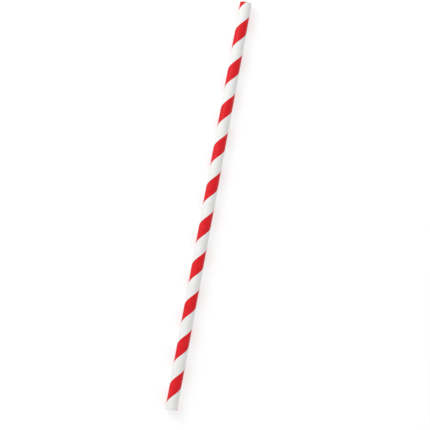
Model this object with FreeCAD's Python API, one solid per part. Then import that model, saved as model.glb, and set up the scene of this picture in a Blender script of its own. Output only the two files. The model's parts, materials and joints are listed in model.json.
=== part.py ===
"""Paper drinking straw, lying on its side.

The straw is one thin tube, wound on a mandrel from paper strips that are glued one over the other: thick plain
strips inside, and a thin printed cover strip outside. Each strip runs round the tube as a right-handed helix, and
a narrow gap is left where one turn meets the next, with some glue in it. The gap of the cover strip shows as a
seam on the outside, and that of the innermost strip as a seam in the bore. Both ends are cut square, and the
knife leaves their edges slightly rounded.

The axis runs along +X. The straw lies on the plane z = 0, and the origin lies on that plane, under the middle of
its length. Sizes are in millimetres and angles in degrees.
"""

import FreeCAD
import Part

import math
import os

# Driving dimensions
straw_length = 210.0
outer_diameter = 6.0
cover_strip = 0.08  # thickness of its paper
inner_strip = 0.16  # thickness of its paper
inner_strip_count = 2
winding_pitch = 20.25  # what a strip gains along the straw in one turn
seam_gap = 0.2  # between the edges of two turns, square across the seam
seam_glue = 0.03  # thickness of the glue that lies in the gap
cover_seam_angle = 122.0  # where it crosses mid-length, turned about +X from the line that the straw lies on
seam_stagger = 120.0  # from the seam of one strip to that of the strip under it
edge_rounding = 0.08  # radius, on both edges of each cut end

# Worked out from the driving dimensions
wall_thickness = cover_strip + inner_strip_count * inner_strip
outer_radius = outer_diameter / 2
bore_radius = outer_radius - wall_thickness
cover_seam_floor = outer_radius - cover_strip + seam_glue
bore_seam_floor = bore_radius + inner_strip - seam_glue
bore_seam_angle = cover_seam_angle + inner_strip_count * seam_stagger

ORIGIN = FreeCAD.Vector(0, 0, 0)
ALONG = FreeCAD.Vector(1, 0, 0)
SIDEWAYS = FreeCAD.Vector(0, 1, 0)
UP = FreeCAD.Vector(0, 0, 1)
QUARTER_TURN = 90
FULL_TURN = 360


def plain_tube():
    """The tube before its seams are cut, centred on the origin, with rounded edges at both ends."""
    back_end = ALONG * (-straw_length / 2)
    outside = Part.makeCylinder(outer_radius, straw_length, back_end, ALONG)
    bore = Part.makeCylinder(bore_radius, straw_length, back_end, ALONG)
    tube = outside.cut(bore)
    end_edges = [edge for edge in tube.Edges if isinstance(edge.Curve, Part.Circle)]
    return tube.makeFillet(edge_rounding, end_edges)


def seam_cutter(wall_radius, floor_radius, crossing_angle):
    """The helical bar that cuts a seam into the wall of wall_radius, down to floor_radius.

    It stands out of the wall as far as it goes in. It is wound about the Z axis, turned to cross mid-length at
    crossing_angle, and laid along X, and it runs half a turn past both ends of the straw.
    """
    bar_length = straw_length + winding_pitch
    helix_angle = math.atan2(2 * math.pi * wall_radius, winding_pitch)
    half_width = seam_gap / math.sin(helix_angle) / 2  # along the axis
    clear_radius = 2 * wall_radius - floor_radius
    corners = [
        FreeCAD.Vector(floor_radius, 0, -half_width),
        FreeCAD.Vector(clear_radius, 0, -half_width),
        FreeCAD.Vector(clear_radius, 0, half_width),
        FreeCAD.Vector(floor_radius, 0, half_width),
    ]
    section = Part.makePolygon(corners + corners[:1])
    helix = Part.makeLongHelix(winding_pitch, bar_length, wall_radius, 0, False)
    bar = Part.Wire(helix.Edges).makePipeShell([section], True, True)
    bar.translate(UP * (-bar_length / 2))
    turned_by_middle = FULL_TURN * (bar_length / 2) / winding_pitch
    bar.rotate(ORIGIN, UP, crossing_angle - turned_by_middle)
    bar.rotate(ORIGIN, SIDEWAYS, QUARTER_TURN)
    return bar


def straw_tube():
    """The wound tube with the seams of its cover strip and its innermost strip, lying on z = 0."""
    tube = plain_tube()
    tube = tube.cut(seam_cutter(outer_radius, cover_seam_floor, cover_seam_angle))
    tube = tube.cut(seam_cutter(bore_radius, bore_seam_floor, bore_seam_angle))
    tube.translate(UP * outer_radius)
    return tube.Solids[0]


os.makedirs("parts", exist_ok=True)
straw = straw_tube()
straw.exportStep("parts/straw_tube.step")
print(f"straw_tube: valid {straw.isValid()}, volume {straw.Volume:.1f} mm3, {len(straw.Faces)} faces")
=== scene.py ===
import json
import math

import bpy
from mathutils import Matrix, Vector


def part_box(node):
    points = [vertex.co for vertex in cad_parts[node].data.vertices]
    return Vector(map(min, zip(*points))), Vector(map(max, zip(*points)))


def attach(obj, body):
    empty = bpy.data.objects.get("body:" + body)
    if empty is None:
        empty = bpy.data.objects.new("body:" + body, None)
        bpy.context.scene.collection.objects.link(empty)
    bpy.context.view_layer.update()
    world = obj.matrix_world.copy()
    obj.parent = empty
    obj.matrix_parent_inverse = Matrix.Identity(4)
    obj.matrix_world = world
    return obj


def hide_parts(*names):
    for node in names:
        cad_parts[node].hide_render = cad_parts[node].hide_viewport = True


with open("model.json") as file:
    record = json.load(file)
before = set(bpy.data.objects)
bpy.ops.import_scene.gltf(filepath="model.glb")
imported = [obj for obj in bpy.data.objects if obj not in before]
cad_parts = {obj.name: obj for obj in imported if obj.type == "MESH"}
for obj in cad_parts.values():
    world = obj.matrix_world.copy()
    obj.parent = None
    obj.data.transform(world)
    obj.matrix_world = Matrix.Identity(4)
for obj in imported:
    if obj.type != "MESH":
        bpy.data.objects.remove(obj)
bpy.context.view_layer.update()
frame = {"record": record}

# The looks of a paper drinking straw: a tube wound from glued strips of white paper, with a red stripe that
# is printed on the cover strip. The straw lies along X, on z = 0. Lengths are in metres and angles in
# radians.
MM = 0.001
FULL_TURN = 2 * math.pi

# Sizes of the tube, from the frame
tube_low, tube_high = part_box("straw_tube")
mounts = {mount["name"]: mount for mount in frame["record"]["mounts"]}
straw_length = tube_high[0] - tube_low[0]
outer_radius = (tube_high[2] - tube_low[2]) / 2
bore_radius = mounts["bore"]["dims"]["r_mm"] * MM
wall_thickness = outer_radius - bore_radius
axis_height = (tube_high[2] + tube_low[2]) / 2

# Sizes of the winding
winding_pitch = 20.25 * MM
helix_angle = math.atan2(FULL_TURN * outer_radius, winding_pitch)  # between a strip and the straw's axis
cover_strip = 0.08 * MM  # thickness of its paper
inner_strip = 0.16 * MM  # thickness of its paper
seam_gap = 0.2 * MM
seam_glue = 0.03 * MM  # thickness of the glue that lies in a seam
cover_seam_angle = math.radians(122)  # at mid-length, turned about +X from the line that the straw rests on
edge_rounding = 0.08 * MM

# The printed stripe, measured along the straw from the cover strip's seam towards +X
stripe_start = 0.15 * MM
stripe_width = 9.66 * MM


def add(tree, kind, inputs=None, **settings):
    """Adds a node. inputs gives a value, or the output of another node, for each input by name or number."""
    node = tree.nodes.new(kind)
    for name, value in settings.items():
        setattr(node, name, value)
    for key, value in (inputs or {}).items():
        if isinstance(value, bpy.types.NodeSocket):
            tree.links.new(value, node.inputs[key])
        else:
            node.inputs[key].default_value = value
    return node.outputs


def linear(hex_colour):
    """The linear colour of an sRGB hex value."""
    shares = [int(hex_colour[i : i + 2], 16) / 255 for i in (1, 3, 5)]
    return [s / 12.92 if s <= 0.04045 else ((s + 0.055) / 1.055) ** 2.4 for s in shares] + [1.0]


def distance_from_axis(tree, place, on_axis):
    """How far a place is from the straw's axis, which runs along X through on_axis."""
    off = add(tree, "ShaderNodeVectorMath", {0: place, 1: on_axis}, operation="SUBTRACT")[0]
    off = add(tree, "ShaderNodeVectorMath", {0: off, 1: (0, 1, 1)}, operation="MULTIPLY")[0]
    return add(tree, "ShaderNodeVectorMath", {0: off}, operation="LENGTH")["Value"]


# Materials

# Numbers of the sockets that a Mix node has for colours
SHARE, COLOUR_A, COLOUR_B, MIXED = 0, 6, 7, 2


def place_on_cover_strip(tree):
    """How far a point is ahead of the cover seam along the straw, and its place across and along the strip.

    The strip runs on from turn to turn, so what is drawn by its place only breaks at its edges, in the seam.
    """
    here = add(tree, "ShaderNodeTexCoord")["Object"]
    x, y, z = add(tree, "ShaderNodeSeparateXYZ", {0: here})
    below_axis = add(tree, "ShaderNodeMath", {0: axis_height, 1: z}, operation="SUBTRACT")[0]
    angle = add(tree, "ShaderNodeMath", {0: y, 1: below_axis}, operation="ARCTAN2")[0]
    seam_turn = {0: x, 1: FULL_TURN / winding_pitch, 2: cover_seam_angle}
    seam_angle = add(tree, "ShaderNodeMath", seam_turn, operation="MULTIPLY_ADD")[0]
    past_seam = add(tree, "ShaderNodeMath", {0: seam_angle, 1: angle}, operation="SUBTRACT")[0]
    turned = add(tree, "ShaderNodeMath", {0: past_seam, 1: FULL_TURN, 2: 0}, operation="WRAP")[0]
    ahead = add(tree, "ShaderNodeMath", {0: turned, 1: winding_pitch / FULL_TURN}, operation="MULTIPLY")[0]
    across = add(tree, "ShaderNodeMath", {0: ahead, 1: math.sin(helix_angle)}, operation="MULTIPLY")[0]
    unwound = add(tree, "ShaderNodeMath", {0: x, 1: 1 / math.cos(helix_angle)}, operation="MULTIPLY")[0]
    around = {0: turned, 1: -outer_radius * math.sin(helix_angle), 2: unwound}
    along = add(tree, "ShaderNodeMath", around, operation="MULTIPLY_ADD")[0]
    return ahead, add(tree, "ShaderNodeCombineXYZ", {0: across, 1: along})[0]


def paper_grain(tree, place, width, length, low=0.0, high=1.0):
    """Random values from low to high in soft grains of a real width and length."""
    in_grains = {0: place, 1: (1 / width, 1 / length, 1 / width)}
    scaled = add(tree, "ShaderNodeVectorMath", in_grains, operation="MULTIPLY")[0]
    grain = add(tree, "ShaderNodeTexNoise", {"Vector": scaled, "Scale": 1.0, "Detail": 3.0})[0]
    usual_low, usual_high = 0.3, 0.7  # nearly all values of the noise lie between these
    return add(tree, "ShaderNodeMapRange", {0: grain, 1: usual_low, 2: usual_high, 3: low, 4: high})[0]


def printed_kraft():
    """White machine-glazed kraft paper with a stripe in red water-based flexo ink.

    The glazed side is smooth with a soft satin shine and faint clouds from uneven fibres. The ink soaks in a
    little, so it mottles slightly with the fibres and shines a little more than the paper.
    """
    paper_roughness = 0.5
    ink_roughness = 0.36
    fibre_roughness = 0.06  # what a raised fibre adds
    thin_ink_share = 0.012  # of the paper's colour, which shows through on a raised fibre

    material = bpy.data.materials.new("machine_glazed_white_kraft_printed_red")
    material.use_nodes = True
    tree = material.node_tree
    shader = tree.nodes["Principled BSDF"]
    ahead, place = place_on_cover_strip(tree)
    clouds = paper_grain(tree, place, width=2.5 * MM, length=4 * MM)
    # Fibres are 0.03 mm wide, too fine to show, so they are drawn ten times as wide
    fibres = paper_grain(tree, place, width=0.3 * MM, length=1.8 * MM)

    # Where the stripe is. Its ink creeps out a little along the fibres at its edges.
    edge_creep = 0.04 * MM
    edge_blur = 0.03 * MM
    from_middle = {0: ahead, 1: stripe_start + stripe_width / 2}
    off_middle = add(tree, "ShaderNodeMath", from_middle, operation="SUBTRACT")[0]
    off_middle = add(tree, "ShaderNodeMath", {0: off_middle}, operation="ABSOLUTE")[0]
    creep = paper_grain(tree, place, width=0.2 * MM, length=0.6 * MM, low=-edge_creep, high=edge_creep)
    off_middle = add(tree, "ShaderNodeMath", {0: off_middle, 1: creep}, operation="ADD")[0]
    edge = {0: off_middle, 1: stripe_width / 2 + edge_blur, 2: stripe_width / 2 - edge_blur}
    inked = add(tree, "ShaderNodeMapRange", edge)[0]

    paper = {SHARE: clouds, COLOUR_A: linear("#F1F1EF"), COLOUR_B: linear("#F9F9F8")}
    paper = add(tree, "ShaderNodeMix", paper, data_type="RGBA")[MIXED]
    ink = {SHARE: clouds, COLOUR_A: linear("#DB0816"), COLOUR_B: linear("#EA101E")}
    ink = add(tree, "ShaderNodeMix", ink, data_type="RGBA")[MIXED]
    thin_ink = {SHARE: thin_ink_share, COLOUR_A: ink, COLOUR_B: paper}
    thin_ink = add(tree, "ShaderNodeMix", thin_ink, data_type="RGBA")[MIXED]
    ink = {SHARE: fibres, COLOUR_A: ink, COLOUR_B: thin_ink}
    ink = add(tree, "ShaderNodeMix", ink, data_type="RGBA")[MIXED]
    colour = {SHARE: inked, COLOUR_A: paper, COLOUR_B: ink}
    colour = add(tree, "ShaderNodeMix", colour, data_type="RGBA")[MIXED]
    tree.links.new(colour, shader.inputs["Base Color"])

    roughness = add(tree, "ShaderNodeMapRange", {0: inked, 3: paper_roughness, 4: ink_roughness})[0]
    roughness = {0: fibres, 1: fibre_roughness, 2: roughness}
    roughness = add(tree, "ShaderNodeMath", roughness, operation="MULTIPLY_ADD")[0]
    tree.links.new(roughness, shader.inputs["Roughness"])
    relief = add(tree, "ShaderNodeBump", {"Strength": 0.6, "Distance": 0.02 * MM, "Height": fibres})
    tree.links.new(relief["Normal"], shader.inputs["Normal"])
    shader.inputs["IOR"].default_value = 1.5
    shader.inputs["Specular IOR Level"].default_value = 0.2
    return material


def plain_kraft():
    """Plain white kraft paper, of the inner strips.

    It is matt, and on the cut ends the lines of glue between the strips show.
    """
    material = bpy.data.materials.new("plain_white_kraft")
    material.use_nodes = True
    tree = material.node_tree
    shader = tree.nodes["Principled BSDF"]
    here = add(tree, "ShaderNodeTexCoord")["Object"]
    fibres = paper_grain(tree, here, width=0.25 * MM, length=0.25 * MM)
    paper = {SHARE: fibres, COLOUR_A: linear("#EDECE8"), COLOUR_B: linear("#F5F5F2")}
    paper = add(tree, "ShaderNodeMix", paper, data_type="RGBA")[MIXED]

    # Dried starch glue is 0.01 mm thick between two strips, too fine to show, so it is drawn four times as
    # thick. Each line runs round the axis where two strips meet.
    glue_line = 0.04 * MM
    line_blur = 0.008 * MM
    line_radius = outer_radius - cover_strip
    radius = distance_from_axis(tree, here, (0, 0, axis_height))
    while line_radius > bore_radius + inner_strip / 2:
        off_line = add(tree, "ShaderNodeMath", {0: radius, 1: line_radius}, operation="SUBTRACT")[0]
        off_line = add(tree, "ShaderNodeMath", {0: off_line}, operation="ABSOLUTE")[0]
        edge = {0: off_line, 1: glue_line / 2 + line_blur, 2: glue_line / 2 - line_blur}
        glued = add(tree, "ShaderNodeMapRange", edge)[0]
        paper = {SHARE: glued, COLOUR_A: paper, COLOUR_B: linear("#D6D2C6")}
        paper = add(tree, "ShaderNodeMix", paper, data_type="RGBA")[MIXED]
        line_radius -= inner_strip
    tree.links.new(paper, shader.inputs["Base Color"])
    relief = add(tree, "ShaderNodeBump", {"Strength": 0.4, "Distance": 0.02 * MM, "Height": fibres})
    tree.links.new(relief["Normal"], shader.inputs["Normal"])
    shader.inputs["Roughness"].default_value = 0.7
    shader.inputs["IOR"].default_value = 1.5
    return material


# The tube

SEAM_COUNT = 3  # one of each strip, evenly staggered
COLUMN_CROWDING = 0.8  # 0 spaces the columns of faces evenly, and 1 lets them meet at the seams
SEAM_LIP = 0.04 * MM  # half the width over which a strip's edge bends down into its seam
CORNER_STEPS = 3  # faces across the rounding of a cut end's edge

# The UV map unrolls the outside, the bore and the cut ends in rows. These are shares of the map's height:
# where the first row starts, how far apart rows start, and how high they are.
OUTSIDE_ROWS = (0.005, 0.185, 0.18)
BORE_ROWS = (0.747, 0.052, 0.046)
END_ROWS = (0.957, 0.022, 0.017)
ROWS_PER_SIDE = 4  # the length of the outside, and of the bore, is cut into as many
MAP_MARGIN = 0.01  # left free at both ends of a row, as a share of the map's width


def wall_section(tree, size):
    """The wall's lengthwise section, with rounded corners and its long sides cut into steps.

    Of its sides the second is the bore and the fourth the outside. The first and third are the cut ends.
    """
    sides = {"Width": size["Wall"], "Height": size["Length"]}
    section = add(tree, "GeometryNodeCurvePrimitiveQuadrilateral", sides)["Curve"]
    corners = {"Curve": section, "Radius": size["Edge Rounding"], "Count": CORNER_STEPS}
    section = add(tree, "GeometryNodeFilletCurve", corners, mode="POLY")["Curve"]
    index = add(tree, "GeometryNodeInputIndex")[0]
    cuts = 0
    for side, steps in ((2, "Bore Steps"), (4, "Outside Steps")):
        starts_side = {0: index, 1: (CORNER_STEPS + 1) * side - 1, 2: 0.5}
        starts_side = add(tree, "ShaderNodeMath", starts_side, operation="COMPARE")[0]
        cuts = {0: starts_side, 1: size[steps], 2: cuts}
        cuts = add(tree, "ShaderNodeMath", cuts, operation="MULTIPLY_ADD")[0]
    return add(tree, "GeometryNodeSubdivideCurve", {"Curve": section, "Cuts": cuts})["Curve"]


def place_in_row(tree, along_row, row, across_row, rows):
    """The place on the map of a point in one of the rows, from shares of that row's length and height."""
    first, step, height = rows
    low = add(tree, "ShaderNodeMath", {0: row, 1: step, 2: first}, operation="MULTIPLY_ADD")[0]
    v = add(tree, "ShaderNodeMath", {0: across_row, 1: height, 2: low}, operation="MULTIPLY_ADD")[0]
    u = {0: along_row, 1: 1 - 2 * MAP_MARGIN, 2: MAP_MARGIN}
    u = add(tree, "ShaderNodeMath", u, operation="MULTIPLY_ADD")[0]
    return add(tree, "ShaderNodeCombineXYZ", {0: u, 1: v})[0]


def add_unrolled_map(tree, tube, size, x, radius, mid_radius, turn):
    """Adds a UV map, named OFBake, that cuts the tube along the cover seam and unrolls it.

    x, radius and turn say where a point is before the tube is twisted, and turn is 0 at the cover seam.
    """
    # A face lies in one row whole, and doesn't reach back over the cut at the seam
    along = add(tree, "ShaderNodeMath", {0: x, 1: size["Length"]}, operation="DIVIDE")[0]
    along = {0: along, 1: ROWS_PER_SIDE, 2: ROWS_PER_SIDE / 2}
    along = add(tree, "ShaderNodeMath", along, operation="MULTIPLY_ADD")[0]
    row = add(tree, "GeometryNodeFieldOnDomain", {"Value": along}, domain="FACE")[0]
    row = add(tree, "ShaderNodeMath", {0: row}, operation="FLOOR")[0]
    along_row = add(tree, "ShaderNodeMath", {0: along, 1: row}, operation="SUBTRACT")[0]
    face_turn = add(tree, "GeometryNodeFieldOnDomain", {"Value": turn}, domain="FACE")[0]
    off_face = add(tree, "ShaderNodeMath", {0: turn, 1: face_turn}, operation="SUBTRACT")[0]
    off_face = add(tree, "ShaderNodeMath", {0: off_face, 1: math.pi, 2: -math.pi}, operation="WRAP")[0]
    face_turn = add(tree, "ShaderNodeMath", {0: face_turn, 1: FULL_TURN, 2: 0}, operation="WRAP")[0]
    turned = add(tree, "ShaderNodeMath", {0: face_turn, 1: off_face}, operation="ADD")[0]
    turned = add(tree, "ShaderNodeMath", {0: turned, 1: FULL_TURN}, operation="DIVIDE")[0]
    on_outside = place_in_row(tree, along_row, row, turned, OUTSIDE_ROWS)
    in_bore = place_in_row(tree, along_row, row, turned, BORE_ROWS)

    # Across a cut end the map follows the wall's section, from the bore over both edges to the outside
    far = add(tree, "ShaderNodeMath", {0: x}, operation="ABSOLUTE")[0]
    off_end = add(tree, "ShaderNodeMath", {0: size["Length"], 1: 0.5}, operation="MULTIPLY")[0]
    off_end = add(tree, "ShaderNodeMath", {0: off_end, 1: far}, operation="SUBTRACT")[0]
    off_middle = add(tree, "ShaderNodeMath", {0: radius, 1: mid_radius}, operation="SUBTRACT")[0]
    side = add(tree, "ShaderNodeMath", {0: off_middle}, operation="SIGN")[0]
    across = {0: side, 1: off_end, 2: off_middle}
    across = add(tree, "ShaderNodeMath", across, operation="MULTIPLY_ADD")[0]
    width = {0: size["Edge Rounding"], 1: 2.0, 2: size["Wall"]}
    width = add(tree, "ShaderNodeMath", width, operation="MULTIPLY_ADD")[0]
    across = add(tree, "ShaderNodeMath", {0: across, 1: width}, operation="DIVIDE")[0]
    across = add(tree, "ShaderNodeMath", {0: across, 1: 0.5}, operation="ADD")[0]
    front = add(tree, "GeometryNodeFieldOnDomain", {"Value": x}, domain="FACE")[0]
    front = add(tree, "ShaderNodeMath", {0: front, 1: 0}, operation="GREATER_THAN")[0]
    on_end = place_in_row(tree, turned, front, across, END_ROWS)

    # Each face's own part of the map, stored for its corners
    is_bore = add(tree, "GeometryNodeFieldOnDomain", {"Value": radius}, domain="FACE")[0]
    is_bore = add(tree, "ShaderNodeMath", {0: is_bore, 1: mid_radius}, operation="LESS_THAN")[0]
    is_end = add(tree, "GeometryNodeFieldOnDomain", {"Value": off_end}, domain="FACE")[0]
    is_end = add(tree, "ShaderNodeMath", {0: is_end, 1: size["Edge Rounding"]}, operation="LESS_THAN")[0]
    place = {"Switch": is_bore, "False": on_outside, "True": in_bore}
    place = add(tree, "GeometryNodeSwitch", place, input_type="VECTOR")[0]
    place = {"Switch": is_end, "False": place, "True": on_end}
    place = add(tree, "GeometryNodeSwitch", place, input_type="VECTOR")[0]
    stored = {"Geometry": tube, "Name": "OFBake", "Value": place}
    kept_as = {"data_type": "FLOAT2", "domain": "CORNER"}
    return add(tree, "GeometryNodeStoreNamedAttribute", stored, **kept_as)["Geometry"]


def radius_with_seams(tree, size, radius, turn):
    """A point's radius, held in at the cover seam and out at the bore seam.

    turn is the point's angle past the cover seam, before the tube is twisted.
    """
    bore = add(tree, "ShaderNodeMath", {0: size["Outer Radius"], 1: size["Wall"]}, operation="SUBTRACT")[0]
    seams = (
        (0, size["Outer Radius"], "Cover Seam Depth", -1, "MINIMUM"),
        (FULL_TURN * 2 / SEAM_COUNT, bore, "Bore Seam Depth", 1, "MAXIMUM"),
    )
    for seam_turn, surface, seam_depth, way_in, keep in seams:
        off_seam = add(tree, "ShaderNodeMath", {0: turn, 1: seam_turn}, operation="SUBTRACT")[0]
        off_seam = add(tree, "ShaderNodeMath", {0: off_seam, 1: math.pi, 2: -math.pi}, operation="WRAP")[0]
        off_seam = add(tree, "ShaderNodeMath", {0: off_seam}, operation="ABSOLUTE")[0]
        off_seam = {0: off_seam, 1: size["Across Per Radian"]}
        off_seam = add(tree, "ShaderNodeMath", off_seam, operation="MULTIPLY")[0]
        lip = {0: size["Seam Gap"], 1: 0.5, 2: SEAM_LIP}
        outer_lip = add(tree, "ShaderNodeMath", lip, operation="MULTIPLY_ADD")[0]
        lip[2] = -SEAM_LIP
        inner_lip = add(tree, "ShaderNodeMath", lip, operation="MULTIPLY_ADD")[0]
        sinks = {0: off_seam, 1: inner_lip, 2: outer_lip, 3: way_in, 4: 0}
        sinks = add(tree, "ShaderNodeMapRange", sinks, interpolation_type="SMOOTHSTEP")[0]
        limit = {0: sinks, 1: size[seam_depth], 2: surface}
        limit = add(tree, "ShaderNodeMath", limit, operation="MULTIPLY_ADD")[0]
        radius = add(tree, "ShaderNodeMath", {0: radius, 1: limit}, operation=keep)[0]
    return radius


def covered_with_paper(tree, tube, size, resting, cover_paper, inner_paper):
    """The tube with the cover strip's paper on its outside and that of the inner strips everywhere else."""
    whole = add(tree, "GeometryNodeRealizeInstances", {"Geometry": tube})["Geometry"]
    plain = add(tree, "GeometryNodeSetMaterial", {"Geometry": whole, "Material": inner_paper})["Geometry"]
    here = add(tree, "GeometryNodeInputPosition")[0]
    radius = distance_from_axis(tree, here, resting)
    depth = add(tree, "ShaderNodeMath", {0: size["Outer Radius"], 1: radius}, operation="SUBTRACT")[0]
    half_seam = add(tree, "ShaderNodeMath", {0: size["Cover Seam Depth"], 1: 0.5}, operation="MULTIPLY")[0]
    on_cover = add(tree, "ShaderNodeMath", {0: depth, 1: half_seam}, operation="LESS_THAN")[0]
    covered = {"Geometry": plain, "Selection": on_cover, "Material": cover_paper}
    return add(tree, "GeometryNodeSetMaterial", covered)["Geometry"]


def wound_tube_tree(sizes, cover_paper, inner_paper):
    """Winds the tube: sweeps the wall's section round the axis, sinks the seams, and twists it into helices.

    The columns of faces follow the winding. They are closest together at the seams of the three strips,
    which lie a third of a turn apart.
    """
    tree = bpy.data.node_groups.new("wound_tube", "GeometryNodeTree")
    for name, value in sizes.items():
        kind = "NodeSocketInt" if isinstance(value, int) else "NodeSocketFloat"
        tree.interface.new_socket(name, in_out="INPUT", socket_type=kind)
    tree.interface.new_socket("Tube", in_out="OUTPUT", socket_type="NodeSocketGeometry")
    size = add(tree, "NodeGroupInput")

    # The wall's section swept round the axis, and laid along X
    mid_radius = {0: size["Wall"], 1: -0.5, 2: size["Outer Radius"]}
    mid_radius = add(tree, "ShaderNodeMath", mid_radius, operation="MULTIPLY_ADD")[0]
    ring = {"Resolution": size["Turn Steps"], "Radius": mid_radius}
    ring = add(tree, "GeometryNodeCurvePrimitiveCircle", ring)["Curve"]
    swept = {"Curve": ring, "Profile Curve": wall_section(tree, size)}
    tube = add(tree, "GeometryNodeCurveToMesh", swept)["Mesh"]
    lying = {"Geometry": tube, "Rotation": (0, math.pi / 2, 0)}
    tube = add(tree, "GeometryNodeTransform", lying)["Geometry"]

    # Each point's angle about the axis, moved to bring the columns closer together at the seams
    here = add(tree, "GeometryNodeInputPosition")[0]
    x, y, z = add(tree, "ShaderNodeSeparateXYZ", {0: here})
    below_axis = add(tree, "ShaderNodeMath", {0: z, 1: -1.0}, operation="MULTIPLY")[0]
    angle = add(tree, "ShaderNodeMath", {0: y, 1: below_axis}, operation="ARCTAN2")[0]
    in_strip = add(tree, "ShaderNodeMath", {0: angle, 1: SEAM_COUNT}, operation="MULTIPLY")[0]
    crowding = add(tree, "ShaderNodeMath", {0: in_strip}, operation="SINE")[0]
    shift = {0: crowding, 1: -COLUMN_CROWDING / SEAM_COUNT}
    shift = add(tree, "ShaderNodeMath", shift, operation="MULTIPLY")[0]
    past_cover_seam = add(tree, "ShaderNodeMath", {0: angle, 1: shift}, operation="ADD")[0]
    radius = distance_from_axis(tree, here, (0, 0, 0))
    tube = add_unrolled_map(tree, tube, size, x, radius, mid_radius, past_cover_seam)

    # The points at their new radius, turned along the helix
    new_radius = radius_with_seams(tree, size, radius, past_cover_seam)
    stretch = add(tree, "ShaderNodeMath", {0: new_radius, 1: radius}, operation="DIVIDE")[0]
    stretch = add(tree, "ShaderNodeCombineXYZ", {0: 1, 1: stretch, 2: stretch})[0]
    sunk = add(tree, "ShaderNodeVectorMath", {0: here, 1: stretch}, operation="MULTIPLY")[0]
    turns = add(tree, "ShaderNodeMath", {0: x, 1: size["Pitch"]}, operation="DIVIDE")[0]
    twist = {0: turns, 1: FULL_TURN, 2: size["Cover Seam Angle"]}
    twist = add(tree, "ShaderNodeMath", twist, operation="MULTIPLY_ADD")[0]
    twist = add(tree, "ShaderNodeMath", {0: twist, 1: shift}, operation="ADD")[0]
    twisted = {"Vector": sunk, "Angle": twist}
    twisted = add(tree, "ShaderNodeVectorRotate", twisted, rotation_type="X_AXIS")[0]
    resting = add(tree, "ShaderNodeCombineXYZ", {2: size["Axis Height"]})[0]
    place = add(tree, "ShaderNodeVectorMath", {0: twisted, 1: resting}, operation="ADD")[0]
    wound = add(tree, "GeometryNodeSetPosition", {"Geometry": tube, "Position": place})["Geometry"]
    smooth = add(tree, "GeometryNodeSetShadeSmooth", {"Geometry": wound})["Geometry"]
    covered = covered_with_paper(tree, smooth, size, resting, cover_paper, inner_paper)
    add(tree, "NodeGroupOutput", {0: covered})
    return tree


def modelled(name, tree, sizes):
    """The mesh that a Geometry Nodes tree makes with the given sizes, as an object at the origin."""
    piece = bpy.data.objects.new(name, bpy.data.meshes.new(name))
    bpy.context.scene.collection.objects.link(piece)
    shape = piece.modifiers.new("shape", "NODES")
    shape.node_group = tree
    for socket in tree.interface.items_tree:
        if socket.in_out == "INPUT":
            shape[socket.identifier] = sizes[socket.name]
    graph = bpy.context.evaluated_depsgraph_get()
    mesh = bpy.data.meshes.new_from_object(piece.evaluated_get(graph), depsgraph=graph)
    piece.modifiers.remove(shape)
    piece.data = mesh
    return piece


# Lengths and angles are floats, and counts of faces are whole numbers
tube_sizes = {
    "Length": straw_length,
    "Outer Radius": outer_radius,
    "Wall": wall_thickness,
    "Edge Rounding": edge_rounding,
    "Pitch": winding_pitch,
    "Seam Gap": seam_gap,
    "Cover Seam Depth": cover_strip - seam_glue,
    "Bore Seam Depth": inner_strip - seam_glue,
    "Cover Seam Angle": cover_seam_angle,
    "Across Per Radian": winding_pitch / FULL_TURN * math.sin(helix_angle),
    "Axis Height": axis_height,
    "Turn Steps": 120,
    "Outside Steps": 420,
    "Bore Steps": 140,
}
tube_tree = wound_tube_tree(tube_sizes, printed_kraft(), plain_kraft())
straw = modelled("wound_straw", tube_tree, tube_sizes)
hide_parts("straw_tube")
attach(straw, "root")


# The floor, the light and the camera


def white_to_the_eye(tree, surface, white):
    """A shader that a camera or a mirror sees as white, and that is surface to everything else."""
    ray = add(tree, "ShaderNodeLightPath")
    seen = ray["Is Camera Ray"]
    for kind in ("Is Glossy Ray", "Is Transmission Ray"):
        seen = add(tree, "ShaderNodeMath", {0: seen, 1: ray[kind]}, operation="MAXIMUM")[0]
    return add(tree, "ShaderNodeMixShader", {0: seen, 1: surface, 2: white})[0]


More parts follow.
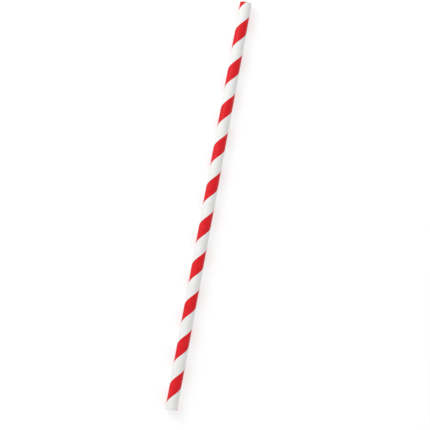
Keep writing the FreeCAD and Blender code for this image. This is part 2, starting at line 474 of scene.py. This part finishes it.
def lay_floor(half_width):
    """A wide white sheet under the straw, which shows pure white outside the straw's shadow."""
    signs = ((-1, -1), (1, -1), (1, 1), (-1, 1))
    corners = [(half_width * across, half_width * along, 0) for across, along in signs]
    mesh = bpy.data.meshes.new("floor")
    mesh.from_pydata(corners, [], [range(len(corners))])
    floor = bpy.data.objects.new("floor", mesh)
    bpy.context.scene.collection.objects.link(floor)
    material = bpy.data.materials.new("white_backdrop_paper")
    material.use_nodes = True
    tree = material.node_tree
    tree.nodes.clear()
    paper = add(tree, "ShaderNodeBsdfDiffuse", {"Color": linear("#E7E7E7")})[0]
    # The eye sees half of it lit and half of it glowing, which adds up to white where no shadow falls
    lit = add(tree, "ShaderNodeBsdfDiffuse", {"Color": linear("#BCBCBC")})[0]
    glow = add(tree, "ShaderNodeEmission", {"Color": linear("#FFFFFF"), "Strength": 0.58})[0]
    bright = add(tree, "ShaderNodeAddShader", {0: lit, 1: glow})[0]
    add(tree, "ShaderNodeOutputMaterial", {0: white_to_the_eye(tree, paper, bright)})
    mesh.materials.append(material)


def light_world(strength):
    """Soft light from all round, behind which the background shows white."""
    world = bpy.data.worlds.new("studio")
    world.use_nodes = True
    tree = world.node_tree
    tree.nodes.clear()
    soft = add(tree, "ShaderNodeBackground", {"Color": linear("#FFFFFF"), "Strength": strength})[0]
    white = add(tree, "ShaderNodeBackground", {"Color": linear("#FFFFFF"), "Strength": 1.0})[0]
    add(tree, "ShaderNodeOutputWorld", {0: white_to_the_eye(tree, soft, white)})
    bpy.context.scene.world = world


def hang_softbox(name, place, width, power):
    """A square softbox that faces the straw."""
    data = bpy.data.lights.new(name, "AREA")
    data.shape = "SQUARE"
    data.size = width
    data.energy = power
    lamp = bpy.data.objects.new(name, data)
    away = Vector(place)
    lamp.matrix_world = Matrix.Translation(away) @ away.to_track_quat("Z", "Y").to_matrix().to_4x4()
    bpy.context.scene.collection.objects.link(lamp)


def set_camera():
    """Looks down on the straw almost from above, a little from its -X end, as the photograph does."""
    aim = Vector((-5.05 * MM, -4.0 * MM, axis_height))
    heading = math.radians(10.34)  # of the picture's upward direction, from +X towards +Y
    tilt = math.radians(6.5)  # from straight down
    distance = 0.9158
    data = bpy.data.cameras.new("camera")
    data.angle = math.radians(13.5)
    data.clip_start = 0.01
    camera = bpy.data.objects.new("camera", data)
    turned = Matrix.Rotation(heading - math.pi / 2, 4, "Z") @ Matrix.Rotation(tilt, 4, "X")
    camera.matrix_world = Matrix.Translation(aim) @ turned @ Matrix.Translation((0, 0, distance))
    bpy.context.scene.collection.objects.link(camera)
    bpy.context.scene.camera = camera


lay_floor(half_width=1.5)
light_world(strength=0.7)
hang_softbox("key_softbox", place=(0.4, 0.55, 0.5), width=0.45, power=2.6)
set_camera()
bpy.context.scene.view_settings.view_transform = "Standard"
